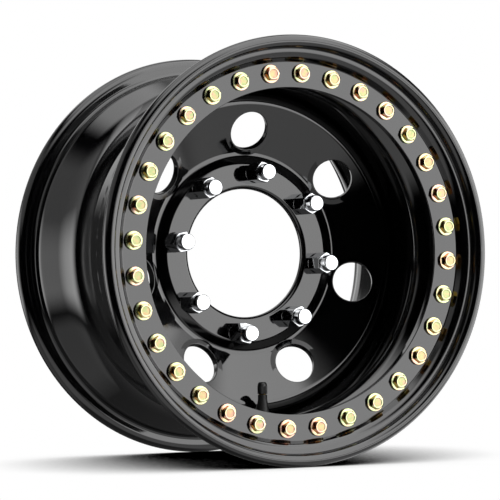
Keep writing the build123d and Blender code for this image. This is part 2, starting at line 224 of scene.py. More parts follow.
def skinned(name, body, skins, material):
    """Makes one object of skins, each with the matrix that sets it in place, and rides it on its body."""
    points = []
    normals = []
    faces = []
    count = 0
    for (own_points, own_normals, own_faces), place in skins:
        turn = np.array(place.to_3x3())
        points.append(own_points @ turn.T + np.array(place.translation))
        normals.append(own_normals @ turn.T)
        faces += [[count + corner for corner in face] for face in own_faces]
        count += len(own_points)
    mesh = bpy.data.meshes.new(name)
    mesh.from_pydata(np.concatenate(points).tolist(), [], faces)
    mesh.shade_smooth()
    normals = np.concatenate(normals)
    normals /= np.linalg.norm(normals, axis=1, keepdims=True)
    mesh.normals_split_custom_set_from_vertices(normals.tolist())
    mesh.materials.append(material)
    piece = bpy.data.objects.new(name, mesh)
    bpy.context.scene.collection.objects.link(piece)
    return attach(piece, body)


def shrinkage(depth, angle):
    """Inset of the barrel behind the disc's skirt, and along the weld that holds the disc."""
    # This noise meets itself again after one turn.
    ragged = np.array([
        noise.noise(Vector((3 * math.cos(a), 3 * math.sin(a), 9 * math.cos(5 * a)))) for a in angle
    ])
    stray = depth - weld_line - weld_groove_stray * ragged
    groove = weld_groove * np.exp(-(stray / weld_groove_width) ** 2)
    beyond = max(depth - skirt_end, 0)
    fade = 1 - min(max((depth - shrink_fade) / (shrink_gone - shrink_fade), 0), 1)
    return groove + skirt_step * (1 - math.exp(-beyond / skirt_ease)) * fade


# Gloss black powder coat: polyester melted to an even film, a mirror-like skin with a faint orange peel.
powder_coat, tree = blank_finish("gloss_black_powder_coat")
peel_width = 3.0        # millimetres from crest to crest of the orange peel
peel_depth = 0.0035
haze_width = 60.0       # millimetres across a duller patch
noise_span = {"From Min": 0.3, "From Max": 0.7}     # most of a noise lies between these
where = node(tree, "ShaderNodeTexCoord").outputs["Object"]
peel = node(tree, "ShaderNodeTexNoise", {"Vector": where, "Scale": 1 / (mm * peel_width), "Detail": 1.0})
haze = node(tree, "ShaderNodeTexNoise", {"Vector": where, "Scale": 1 / (mm * haze_width), "Detail": 3.0})
dulling = node(tree, "ShaderNodeMapRange", {
    "Value": haze.outputs["Fac"], **noise_span, "To Min": 0.045, "To Max": 0.085,
})
relief = node(tree, "ShaderNodeBump", {
    "Height": peel.outputs["Fac"], "Strength": 1.0, "Distance": mm * peel_depth,
})
coat = node(tree, "ShaderNodeBsdfPrincipled", {
    "Base Color": linear("#060607"),
    "IOR": 1.7,
    "Roughness": dulling.outputs["Result"],
    "Normal": relief.outputs["Normal"],
})
node(tree, "ShaderNodeOutputMaterial", {"Surface": coat.outputs["BSDF"]})

barrel_outline = rounded(sheet(barrel_path, barrel_gauge), swing=4.0, run=3.0)
barrel_skin = turned(barrel_outline, wheel_facets, shrinkage)
rim_barrel = skinned("barrel", "wheel", [(barrel_skin, wheel_axis)], powder_coat)
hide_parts("rim_barrel")


# Centre disc
# A 7 mm plate pressed to a dish, with a flat lug pad round the hub bore and a skirt that fits in the barrel.
# Seven vents are punched square to the coned web, and eight coned seats are cut in the pad for the lug nuts.

disc_gauge = 7.0
hub_bore_r = 65.4
pad_r = 90.5
pad_face = 102.5
web_start_r = 101.4
web_start = pad_face + 5.1
web_end_r = 155.0
web_end = pad_face - 18.6
skirt_r = 165.3
disc_path = [
    (hub_bore_r, pad_face, 4.5),
    (pad_r, pad_face, 7.0),
    (web_start_r, web_start, 8.0),
    (web_end_r, web_end, 11.0),
    (skirt_r, pad_face - 11.5, 9.0),
    (skirt_r, pad_face + 15.5, cut_edge),
]
web_run = web_end_r - web_start_r
web_fall = web_start - web_end
web_cup = 308.0         # radius of the web's cupping across a vent
vent_count = 7
vent_phase = -14.2
vent_circle_r = 124.5
vent_share = 0.431      # how far along the web the middle of a vent lies
vent_depth = web_start - vent_share * web_fall
vent_r = 20.25
vent_edge = 1.1
vent_flare = 6.0        # how much wider the cutter is outside the plate, to round the vent's edges
vent_lift = 0.02        # keeps that wider part off the web's face
vent_bit_back = 14.0
vent_bit_front = 8.0
sharp = 0.01            # bend of a cutter's corner that rounds nothing
lug_count = 8
lug_phase = 82.2
lug_circle_r = 82.55
lug_hole_r = 7.6
lug_seat_r = 10.3
lug_bit_back = 12.0
lug_bit_front = 1.0
seat_cone = math.radians(30)
seat_flare = 0.577      # how much wider the cone is for each millimetre
seat_length = (lug_seat_r - lug_hole_r) / math.tan(seat_cone)


def facing(angle, r, depth, spin=0.0, lean=(0.0, 1.0)):
    """Stands a small piece on the wheel's face, with its axis outboard or leaning in by a run and fall."""
    tilt = math.hypot(*lean)
    along = Vector((-math.sin(angle), 0, math.cos(angle)))
    axis = Vector((-lean[0] / tilt * math.cos(angle), -lean[1] / tilt, -lean[0] / tilt * math.sin(angle)))
    place = Matrix((along, axis.cross(along), axis)).transposed().to_4x4()
    place.translation = mm * Vector((r * math.cos(angle), depth - hub_inset, r * math.sin(angle)))
    return place @ Matrix.Rotation(spin, 4, "Z") @ Matrix.Scale(mm, 4)


def drilled(piece, bits):
    """Cuts the bits out of a piece, and carries the true normals of both over to the cut skin."""
    cutter = skinned("bits", "wheel", bits, powder_coat)
    for thing, way in ((piece, 1), (cutter, -1)):
        aims = np.empty(3 * len(thing.data.loops), np.float32)
        thing.data.corner_normals.foreach_get("vector", aims)
        kept = thing.data.attributes.new("true_normal", "FLOAT_VECTOR", "CORNER")
        kept.data.foreach_set("vector", way * aims)
    holes = piece.modifiers.new("holes", "BOOLEAN")
    holes.object = cutter
    holes.solver = "EXACT"
    evaluated = piece.evaluated_get(bpy.context.evaluated_depsgraph_get())
    mesh = bpy.data.meshes.new_from_object(evaluated)
    piece.modifiers.clear()
    piece.data = mesh
    aims = np.empty(3 * len(mesh.loops), np.float32)
    mesh.attributes["true_normal"].data.foreach_get("vector", aims)
    aims = aims.reshape(-1, 3)
    aims /= np.maximum(np.linalg.norm(aims, axis=1, keepdims=True), 1e-9)
    mesh.shade_smooth()
    mesh.normals_split_custom_set(aims.tolist())
    mesh.attributes.remove(mesh.attributes["true_normal"])
    bpy.data.objects.remove(cutter)


vent_bit = rounded([
    (0, -vent_bit_back, 0),
    (vent_r + vent_flare, -vent_bit_back, sharp),
    (vent_r + vent_flare, -disc_gauge, sharp),
    (vent_r, -disc_gauge, vent_edge),
    (vent_r, 0, vent_edge),
    (vent_r + vent_flare, 0, sharp),
    (vent_r + vent_flare, vent_bit_front, sharp),
    (0, vent_bit_front, 0),
], swing=15.0)
vent_skin = turned(vent_bit, facets=128)
vent_skin[0][:, 2] += vent_skin[0][:, 0] ** 2 / (2 * web_cup) + vent_lift
vent_angles = [math.radians(vent_phase + 360 / vent_count * i) for i in range(vent_count)]
vent_places = [facing(angle, vent_circle_r, vent_depth, lean=(web_fall, web_run)) for angle in vent_angles]
lug_bit = rounded([
    (0, -lug_bit_back, 0),
    (lug_hole_r, -lug_bit_back, sharp),
    (lug_hole_r, -seat_length, sharp),
    (lug_seat_r + seat_flare * lug_bit_front, lug_bit_front, sharp),
    (0, lug_bit_front, 0),
], swing=45.0)
lug_skin = turned(lug_bit, facets=64)
lug_angles = [math.radians(lug_phase + 360 / lug_count * i) for i in range(lug_count)]
disc_outline = rounded(sheet(disc_path, disc_gauge), swing=4.0, run=6.0)
disc_skin = turned(disc_outline, wheel_facets)
centre_disc = skinned("disc", "wheel", [(disc_skin, wheel_axis)], powder_coat)
drilled(centre_disc, [(vent_skin, place) for place in vent_places]
        + [(lug_skin, facing(angle, lug_circle_r, pad_face)) for angle in lug_angles])
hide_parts("centre_disc")


# Inner bead ring
# A turned steel ring welded to the outboard end of the barrel, with a step that carries the tyre bead.
# Its plate takes the 32 clamp bolts in tapped holes.

clamp_gauge = 6.35      # of the clamp ring that lies against it
bolt_count = 32
bolt_phase = 176.38
bolt_circle_r = 176.5
bolt_r = 3.97
bolt_play = 0.2
bolt_bit_back = 30.0
bolt_bit_front = 10.0
bead_ring_corners = [
    (165.0, clamp_gauge, cut_edge),
    (bead_seat_r, clamp_gauge, 1.5),
    (bead_seat_r, 12.85, 2.0),
    (200.0, 12.85, 1.5),
    (200.0, 17.85, 1.5),
    (185.3, 17.85, cut_edge),
    (185.3, 14.35, 1.0),
    (165.0, 14.35, cut_edge),
]
bolt_angles = [math.radians(bolt_phase + 360 / bolt_count * i) for i in range(bolt_count)]
bolt_bit = turned(rounded([
    (0, -bolt_bit_back, 0),
    (bolt_r + bolt_play, -bolt_bit_back, sharp),
    (bolt_r + bolt_play, bolt_bit_front, sharp),
    (0, bolt_bit_front, 0),
], swing=45.0), facets=32)
bolt_bits = [(bolt_bit, facing(angle, bolt_circle_r, 0)) for angle in bolt_angles]
bead_ring_outline = rounded(bead_ring_corners, swing=6.0, run=8.0)
bead_ring_skin = turned(bead_ring_outline, wheel_facets)
bead_ring = skinned("bead_ring", "wheel", [(bead_ring_skin, wheel_axis)], powder_coat)
drilled(bead_ring, bolt_bits)
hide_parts("inner_bead_ring")


# Welds
# Rows of overlapping weld puddles, coated with the rest. One holds the disc's skirt in the barrel, and the
# other joins the bead ring to the barrel's outboard end.

puddle_length = 4.0     # millimetres from one puddle to the next
puddle_steps = 6
puddle_dip = 0.16       # share of the weld's height that is lost between two puddles
puddle_lean = 0.45
weld_sides = 12
weld_unevenness = 0.10
weld_offset = 0.35      # how far its middle stands out of the corner, as a share of its height
weld_girth = 0.8        # its radius, as a share of its height


def weld(r, depth, height, side_r, side_depth):
    """One fillet weld round the wheel, in the corner at (r, depth) that opens to the given side."""
    puddles = round(math.tau * r / puddle_length)
    rings = []
    for k in range(puddles * puddle_steps):
        angle = math.tau * k / (puddles * puddle_steps)
        ripple = 1 - puddle_dip * abs(math.sin(math.pi * k / puddle_steps)) ** 3
        wander = noise.noise(Vector((6 * math.cos(angle), 6 * math.sin(angle), depth)))
        size = height * ripple * (1 + weld_unevenness * wander)
        lean = puddle_lean * math.sin(math.tau * k / puddle_steps)
        points = []
        normals = []
        for j in range(weld_sides):
            swing = math.tau * j / weld_sides
            out_r = math.cos(swing)
            out_h = math.sin(swing)
            own_r = r + size * (weld_offset * side_r + weld_girth * out_r)
            own_depth = depth + size * (weld_offset * side_depth + weld_girth * out_h)
            points.append((own_r * math.cos(angle), own_r * math.sin(angle), own_depth))
            normals.append((out_r * math.cos(angle) - lean * math.sin(angle),
                            out_r * math.sin(angle) + lean * math.cos(angle), out_h))
        rings.append((np.array(points), np.array(normals)))
    return lofted(rings)


disc_weld = weld(r=165.4, depth=117.8, height=3.2, side_r=-1, side_depth=1)
bead_ring_weld = weld(r=185.3, depth=18.6, height=2.4, side_r=-1, side_depth=0.5)
skinned("welds", "wheel", [(disc_weld, wheel_axis), (bead_ring_weld, wheel_axis)], powder_coat)


# Clamp ring
# A ring of 6.35 mm plate, pressed outward to a sloped land and rolled over at its edge into a round lip.
# It clamps the outer tyre bead against the bead ring, and is coated like the rest of the wheel.

clamp_bore_r = 162.1
clamp_edge = 0.8
lip_r = 207.3
lip_depth = -11.5
lip_tube_r = 6.5
clamp_corners = [
    (clamp_bore_r, 0, clamp_edge),
    (187.9, 0, 2.0),
    (194.2, -8.0, 11.0),
    (201.2, -8.3, 1.5),
    (lip_r - lip_tube_r, lip_depth - lip_tube_r, lip_tube_r),
    (lip_r + lip_tube_r, lip_depth - lip_tube_r, lip_tube_r),
    (lip_r + lip_tube_r, lip_depth + lip_tube_r, lip_tube_r),
    (205.6, lip_depth + lip_tube_r, 2.0),
    (199.4, -4.1, 3.0),
    (190.5, clamp_gauge, 8.0),
    (clamp_bore_r, clamp_gauge, clamp_edge),
]
clamp_outline = rounded(clamp_corners, swing=3.0, run=8.0)
clamp_skin = turned(clamp_outline, wheel_facets)
clamp_ring = skinned("clamp_ring_lip", "wheel", [(clamp_skin, wheel_axis)], powder_coat)
drilled(clamp_ring, bolt_bits)
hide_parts("clamp_ring")


# Clamp bolts
# Thirty-two 5/16 inch flanged hex bolts of cold-headed steel, zinc plated and dipped in a yellow passivate.
# Each is left at the turn where it came tight, and its thread ends just behind the bead ring.

bolt_flats = 12.7
bolt_corner = 0.6
bolt_flange_r = 9.3
bolt_flange_edge = 2.5
bolt_flange_h = 2.9
bolt_head_h = 7.9
bolt_bevel_r = 5.6
bolt_bevel_slope = 0.5
bolt_dish_r = 4.6
bolt_dish_floor_r = 4.2
bolt_dish_floor = bolt_head_h - 0.5
bolt_tip = -16.35
bolt_thread_pitch = 1.41
bolt_thread_depth = 0.55
bolt_thread_lean = 0.8
bolt_thread_rings = 17
bolt_thread_step = 0.24     # millimetres from ring to ring
bolt_chamfer = 0.5
tight_turn = 18.0           # degrees, about which the bolts came tight
tight_spread = 16.0
tight_step = 140.0


def hexagon(flats, corner_round, splits):
    """Points and outward normals round a hexagon with rounded corners, with each flat split so many times."""
    flat_share = 0.57       # length of a flat, as a share of the width across two
    corner_r = flats / 2 / math.cos(math.radians(30))
    turns = [math.radians(60 * i) for i in range(6)]
    plan = [(corner_r * math.cos(turn), corner_r * math.sin(turn), corner_round) for turn in turns]
    return rounded(plan, swing=12.0, run=flats * flat_share / splits)


def ring_at(plan, height, r=None, out=1.0, rise=0.0):
    """A ring at a height, on the plan itself or on a circle in its directions, with normals that may rise."""
    way = plan[:, :2] / np.linalg.norm(plan[:, :2], axis=1, keepdims=True)
    flat = plan[:, :2] if r is None else way * np.reshape(r, (-1, 1))
    side = plan[:, 2:] if r is None else way
    points = np.column_stack((flat, np.broadcast_to(height, len(plan))))
    return points, np.column_stack((side * out, np.full(len(plan), rise)))


def tip_at(height, up=1.0):
    """The single point on the axis that closes a skin, facing up or down."""
    return np.array([[0, 0, height]]), np.array([[0, 0, up]])


bolt_plan = hexagon(bolt_flats, bolt_corner, splits=3)
bolt_reach = np.linalg.norm(bolt_plan[:, :2], axis=1)
bolt_bevel_at = bolt_head_h - bolt_bevel_slope * (bolt_reach - bolt_bevel_r)
bolt_profile = [        # height, radius where it isn't the hexagon's, and how far the normal goes out and up
    (0, bolt_flange_r - 0.4, 0.6, -0.8),
    (0.35, bolt_flange_r),
    (bolt_flange_edge - 0.4, bolt_flange_r),
    (bolt_flange_edge - 0.12, bolt_flange_r - 0.12, 0.7, 0.7),
    (bolt_flange_edge, bolt_flange_r - 0.45, 0.15, 1.0),
    (bolt_flange_h - 0.05, bolt_reach + 0.3, 0.15, 1.0),
    (bolt_flange_h + 0.25, None, 1.0, 0.3),
    (bolt_flange_h + 0.5,),
    (bolt_bevel_at - 0.15,),
    (bolt_bevel_at + 0.03, bolt_reach - 0.1, 0.75, 0.66),
    (bolt_bevel_at + 0.12, bolt_reach - 0.28, bolt_bevel_slope, 1.0),
    (bolt_head_h - 0.1, bolt_bevel_r + 0.2, bolt_bevel_slope, 1.0),
    (bolt_head_h, bolt_bevel_r - 0.15, 0.08, 1.0),
    (bolt_head_h, bolt_dish_r + 0.15, -0.05, 1.0),
    (bolt_head_h - 0.12, bolt_dish_r - 0.1, -0.7, 0.7),
    (bolt_dish_floor + 0.12, bolt_dish_floor_r + 0.1, -0.7, 0.7),
    (bolt_dish_floor, bolt_dish_floor_r - 0.2, 0.0, 1.0),
]
bolt_rings = [ring_at(bolt_plan, *row) for row in bolt_profile] + [tip_at(bolt_dish_floor)]
thread_turn = np.arctan2(bolt_plan[:, 1], bolt_plan[:, 0]) / math.tau
thread_rings = [tip_at(bolt_tip, -1.0), ring_at(bolt_plan, bolt_tip, bolt_r - 0.7, 0.0, -1.0)]
for k in range(bolt_thread_rings):
    height = bolt_tip + 0.15 + bolt_thread_step * k
    phase = np.mod(height / bolt_thread_pitch - thread_turn, 1)
    groove = bolt_thread_depth * np.abs(phase - 0.5) * 2
    points, normals = ring_at(bolt_plan, height, bolt_r - groove - bolt_chamfer * (k == 0))
    normals[:, 2] = np.where(phase < 0.5, -bolt_thread_lean, bolt_thread_lean)
    thread_rings.append((points, normals))
bolt_skin = lofted(bolt_rings, around=False)
thread_skin = lofted(thread_rings, around=False)
bolt_turns = [
    math.radians(tight_turn + tight_spread * math.sin(math.radians(tight_step * i)))
    for i in range(bolt_count)
]
bolt_places = [
    facing(angle, bolt_circle_r, 0, turn - angle - math.pi / 2)
    for angle, turn in zip(bolt_angles, bolt_turns)
]

# Yellow passivated zinc: bright plate under a thin chromate film that runs from straw to rose and green.
# The hexagon's flanks get a painted shade and sheen, a darker and deeper amber than the top, and the stamped
# dish is coarser.
zinc, tree = blank_finish("yellow_passivated_zinc")
film_patch = 5.0        # millimetres across a patch of one film thickness
film_contrast = 1.5
first_stop = 0.1
stop_gap = 0.16
thin_film_codes = ("#DDAE9C", "#DCC49A", "#D8CC9E", "#B6CB96", "#D8C89C", "#DCB6A6")
# Painted shade and sheen for the flanks: darker, deeper amber tones than the top's.
painted_flank_shade_codes = ("#D8612C", "#E59A34", "#CC9A34", "#A29A3C", "#E0A23C", "#D36A38")
zinc_grain = 1.2        # millimetres, coarser than the plate's own grain, so that it shows
grain_depth = 0.05
where = node(tree, "ShaderNodeTexCoord").outputs["Object"]
film = node(tree, "ShaderNodeTexNoise", {
    "Vector": where, "Scale": 1 / (mm * film_patch), "Detail": 3.0, "Roughness": 0.6,
})
tone = node(tree, "ShaderNodeAttribute", attribute_name="film_tone")
flank = node(tree, "ShaderNodeAttribute", attribute_name="flank")
stamped = node(tree, "ShaderNodeAttribute", attribute_name="stamped")
film_tone = node(tree, "ShaderNodeMath", {
    0: film.outputs["Fac"], 1: film_contrast, 2: tone.outputs["Fac"],
}, operation="MULTIPLY_ADD")
thin_film = node(tree, "ShaderNodeValToRGB", {"Fac": film_tone.outputs["Value"]})
painted_flank_shade = node(tree, "ShaderNodeValToRGB", {"Fac": film_tone.outputs["Value"]})
for ramp, codes in ((thin_film, thin_film_codes), (painted_flank_shade, painted_flank_shade_codes)):
    for k, code in enumerate(codes):
        stop = ramp.color_ramp.elements.new(first_stop + stop_gap * k)
        stop.color = linear(code)
    ramp.color_ramp.elements.remove(ramp.color_ramp.elements[0])
    ramp.color_ramp.elements.remove(ramp.color_ramp.elements[-1])
tint = node(tree, "ShaderNodeMix", {
    0: flank.outputs["Fac"], 6: thin_film.outputs["Color"], 7: painted_flank_shade.outputs["Color"],
}, data_type="RGBA")
dim = node(tree, "ShaderNodeMix", {
    0: stamped.outputs["Fac"], 6: tint.outputs[2], 7: linear("#DAD8CE"),
}, data_type="RGBA", blend_type="MULTIPLY")
grain = node(tree, "ShaderNodeTexNoise", {"Vector": where, "Scale": 1 / (mm * zinc_grain), "Detail": 2.0})
dulling = node(tree, "ShaderNodeMapRange", {
    "Value": grain.outputs["Fac"], **noise_span, "To Min": 0.08, "To Max": 0.16,
})
coarse = node(tree, "ShaderNodeMath", {
    0: stamped.outputs["Fac"], 1: 0.28, 2: dulling.outputs["Result"],
}, operation="MULTIPLY_ADD")
strength = node(tree, "ShaderNodeMath", {
    0: stamped.outputs["Fac"], 1: 0.6, 2: 0.25,
}, operation="MULTIPLY_ADD")
relief = node(tree, "ShaderNodeBump", {
    "Height": grain.outputs["Fac"], "Strength": strength.outputs["Value"], "Distance": mm * grain_depth,
})
plate = node(tree, "ShaderNodeBsdfPrincipled", {
    "Base Color": dim.outputs[2],
    "Metallic": 1.0,
    "Roughness": coarse.outputs["Value"],
    "Normal": relief.outputs["Normal"],
})
node(tree, "ShaderNodeOutputMaterial", {"Surface": plate.outputs["BSDF"]})

bolt_skins = [(skin, place) for place in bolt_places for skin in (bolt_skin, thread_skin)]
clamp_bolts = skinned("bolts", "wheel", bolt_skins, zinc)
tone_spread = 0.27      # by how much the film differs from bolt to bolt
tone_shift = -0.25
tones = [
    tone_spread * math.sin(2.4 * i + 5.1 * math.sin(1.7 * i)) + tone_shift for i in range(bolt_count)
]
ring_size = len(bolt_plan)
# Marks the hexagon's flanks, which take the painted amber shade and sheen.
on_flank = np.zeros(len(bolt_skin[0]) + len(thread_skin[0]))
on_flank[6 * ring_size:9 * ring_size] = 1           # the three rings up the hexagon's sides
on_stamp = np.zeros(len(on_flank))
on_stamp[15 * ring_size:17 * ring_size + 1] = 1     # the dish's floor and its middle point
bolt_marks = {
    "film_tone": np.repeat(tones, len(on_flank)),
    "flank": np.tile(on_flank, bolt_count),
    "stamped": np.tile(on_stamp, bolt_count),
}
for name, values in bolt_marks.items():
    mark = clamp_bolts.data.attributes.new(name, "FLOAT", "POINT")
    mark.data.foreach_set("value", values.astype(np.float32))
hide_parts("clamp_bolts")


# Lug nuts
# Eight closed steel nuts, 3/4 inch across the flats and chrome plated, with a coned seat at the foot.
# A plain round cap closes the end of each.

nut_flats = 19.05
nut_corner = 0.9
nut_height = 32.0
nut_hex_end = 22.0
nut_bevel_r = 9.3
nut_bevel_slope = 0.3
nut_hem_r = 10.2
nut_hem_slope = 0.55
nut_neck_r = 8.4
nut_cap_r = 8.3
nut_cap_round = 1.5
nut_cap_steps = 6
nut_bore_r = 6.3
nut_bore_depth = 24.0
nut_foot = 1 - seat_length
nut_foot_r = lug_seat_r - 0.05 + seat_flare * nut_foot
nut_turns = [math.radians(turn) for turn in (45, 20, 10, 30, 45, 20, 30, 30)]
nut_plan = hexagon(nut_flats, nut_corner, splits=4)
nut_reach = np.linalg.norm(nut_plan[:, :2], axis=1)
nut_hem = nut_hem_slope * np.abs(nut_reach - nut_hem_r)     # the hexagon's scalloped lower edge
nut_bevel_at = nut_hex_end - nut_bevel_slope * (nut_reach - nut_bevel_r)
nut_profile = [
    (nut_foot, nut_foot_r, 0.87, -0.5),
    (-0.2, lug_seat_r - 0.2, 0.87, -0.5),
    (0.15, lug_seat_r - 0.15, 0.6, -0.8),
    (nut_hem + 0.1, nut_reach - 0.2, 0.45, -0.9),
    (nut_hem + 0.4,),
    (nut_bevel_at - 0.3,),
    (nut_bevel_at - 0.05, nut_reach - 0.12, 0.75, 0.66),
    (nut_bevel_at + 0.03, nut_reach - 0.3, 0.29, 0.96),
    (nut_hex_end, nut_bevel_r - 0.15, 0.12, 1.0),
    (nut_hex_end, nut_neck_r + 0.5, 0.0, 1.0),
    (nut_hex_end + 0.12, nut_neck_r + 0.15, 0.6, 0.8),
    (nut_hex_end + 0.4, nut_neck_r, 1.0, 0.05),
    (nut_height - nut_cap_round, nut_cap_r, 1.0, 0.08),
]
for k in range(1, nut_cap_steps + 1):
    out = math.cos(math.radians(90 / nut_cap_steps * k))
    rise = math.sin(math.radians(90 / nut_cap_steps * k))
    height = nut_height - nut_cap_round * (1 - rise)
    nut_profile.append((height, nut_cap_r - nut_cap_round * (1 - out), out, rise))
nut_rings = [ring_at(nut_plan, *row) for row in nut_profile] + [tip_at(nut_height)]
bore_rings = [
    ring_at(nut_plan, nut_foot, nut_foot_r, 0.0, -1.0),
    ring_at(nut_plan, nut_foot, nut_bore_r + 0.3, 0.0, -1.0),
    None,
    ring_at(nut_plan, nut_foot, nut_bore_r + 0.3, -0.7, -0.7),
    ring_at(nut_plan, nut_foot + 0.5, nut_bore_r, -1.0, 0.0),
    ring_at(nut_plan, nut_bore_depth, nut_bore_r, -1.0, 0.0),
    None,
    ring_at(nut_plan, nut_bore_depth, nut_bore_r, 0.0, -1.0),
    tip_at(nut_bore_depth, -1.0),
]
nut_skin = lofted(nut_rings, around=False)
bore_points, bore_normals, bore_faces = lofted(bore_rings, around=False)
bore_skin = (bore_points, bore_normals, [face[::-1] for face in bore_faces])
nut_places = [
    facing(angle, lug_circle_r, pad_face, turn - angle - math.pi / 2)
    for angle, turn in zip(lug_angles, nut_turns)
]

# Chrome plate: buffed steel under nickel and a thin hard chrome, a clear mirror with a faint polishing haze.
chrome, tree = blank_finish("buffed_chrome_plate")
buff_width = 4.0        # millimetres across a hazier patch
where = node(tree, "ShaderNodeTexCoord").outputs["Object"]
buffing = node(tree, "ShaderNodeTexNoise", {"Vector": where, "Scale": 1 / (mm * buff_width), "Detail": 3.0})
dulling = node(tree, "ShaderNodeMapRange", {
    "Value": buffing.outputs["Fac"], **noise_span, "To Min": 0.03, "To Max": 0.08,
})
plate = node(tree, "ShaderNodeBsdfPrincipled", {
    "Base Color": linear("#E3E5E8"),
    "Metallic": 1.0,
    "Roughness": dulling.outputs["Result"],
})
node(tree, "ShaderNodeOutputMaterial", {"Surface": plate.outputs["BSDF"]})

nut_skins = [(skin, place) for place in nut_places for skin in (nut_skin, bore_skin)]
lug_nuts = skinned("nuts", "wheel", nut_skins, chrome)
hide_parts("lug_nuts")


# Tyre valve
# A snap-in rubber valve in the barrel's floor at the bottom of the wheel, with a brass stem bonded into it.
# The core screws into the stem, and a ribbed plastic cap screws over it.

valve_depth = 72.0
valve_seat_r = 165.5
valve_seat = mm * Vector((0, valve_depth - hub_inset, -valve_seat_r))
valve_line = Matrix.Translation(valve_seat) @ Matrix.Scale(mm, 4)
body_corners = [        # radius, height above the valve's seat, and bend
    (3.05, -10.5, 0.3),
    (5.88, -10.5, 0.8),
    (8.4, -7.2, 0.8),
    (8.4, -4.7, 0.4),
    (5.45, -4.7, 0.4),
    (5.45, 0.3, 0.2),
    (7.3, 0.3, 0.5),
    (7.3, 2.15, 0.8),
    (6.0, 8.6, 6.0),
    (4.7, 17.2, 6.0),
    (4.7, 21.5, 0.6),
    (3.05, 21.5, 0.3),
]

# Moulded rubber: black EPDM, matt and a little grey where it is handled.
rubber, tree = blank_finish("moulded_epdm_rubber")
bloom_width = 6.0       # millimetres across a greyer patch
pore_width = 0.5
pore_depth = 0.04
where = node(tree, "ShaderNodeTexCoord").outputs["Object"]
bloom = node(tree, "ShaderNodeTexNoise", {"Vector": where, "Scale": 1 / (mm * bloom_width), "Detail": 4.0})
shade = node(tree, "ShaderNodeValToRGB", {"Fac": bloom.outputs["Fac"]})
shade.color_ramp.elements[0].position = 0.35
shade.color_ramp.elements[0].color = linear("#0D0D0D")
shade.color_ramp.elements[1].position = 0.75
shade.color_ramp.elements[1].color = linear("#1B1B1B")
pores = node(tree, "ShaderNodeTexNoise", {"Vector": where, "Scale": 1 / (mm * pore_width), "Detail": 2.0})
relief = node(tree, "ShaderNodeBump", {
    "Height": pores.outputs["Fac"], "Strength": 0.5, "Distance": mm * pore_depth,
})
gum = node(tree, "ShaderNodeBsdfPrincipled", {
    "Base Color": shade.outputs["Color"],
    "Roughness": 0.5,
    "Normal": relief.outputs["Normal"],
})
node(tree, "ShaderNodeOutputMaterial", {"Surface": gum.outputs["BSDF"]})

body_skin = turned(rounded(body_corners, swing=8.0), facets=96)
valve_body = skinned("valve_rubber_body", "wheel", [(body_skin, valve_line)], rubber)
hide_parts("valve_body")

# Turned brass: bar stock with fine tool rings, a warm metal that is a little dull between them.
brass, tree = blank_finish("turned_brass")
tool_ring = 0.754       # millimetres, coarser than real tool marks, so that they show
wave_period = math.tau / 20     # of the wave texture at a scale of 1
tool_ring_depth = 0.02
tarnish_width = 3.0
where = node(tree, "ShaderNodeTexCoord").outputs["Object"]
rings = node(tree, "ShaderNodeTexWave", {
    "Vector": where, "Scale": wave_period / (mm * tool_ring), "Distortion": 0.4,
}, bands_direction="Z")
tarnish = node(tree, "ShaderNodeTexNoise", {
    "Vector": where, "Scale": 1 / (mm * tarnish_width), "Detail": 3.0,
})
shade = node(tree, "ShaderNodeValToRGB", {"Fac": tarnish.outputs["Fac"]})
shade.color_ramp.elements[0].position = 0.3
shade.color_ramp.elements[0].color = linear("#A98648")
shade.color_ramp.elements[1].position = 0.7
shade.color_ramp.elements[1].color = linear("#D0AE68")
relief = node(tree, "ShaderNodeBump", {
    "Height": rings.outputs["Fac"], "Strength": 0.3, "Distance": mm * tool_ring_depth,
})
metal = node(tree, "ShaderNodeBsdfPrincipled", {
    "Base Color": shade.outputs["Color"],
    "Metallic": 1.0,
    "Roughness": 0.28,
    "Normal": relief.outputs["Normal"],
})
node(tree, "ShaderNodeOutputMaterial", {"Surface": metal.outputs["BSDF"]})

stem_r = 3.85
stem_top = 32.0
stem_foot = -9.3
stem_shank_r = 3.0
stem_thread_foot = 21.55
stem_thread_pitch = 0.79
stem_thread_depth = 0.42
stem_thread_lean = 0.7
stem_thread_rings = 52
stem_thread_step = 0.2
stem_chamfer = 0.5
core_bore_r = 2.65
core_seat = 20.5
airway_r = 1.9


def circle_plan(sides):
    """Angles round a circle, and the circle as a plan for ring_at."""
    angle = np.arange(sides) * math.tau / sides
    way = np.column_stack((np.cos(angle), np.sin(angle)))
    return angle, np.hstack((way, way))


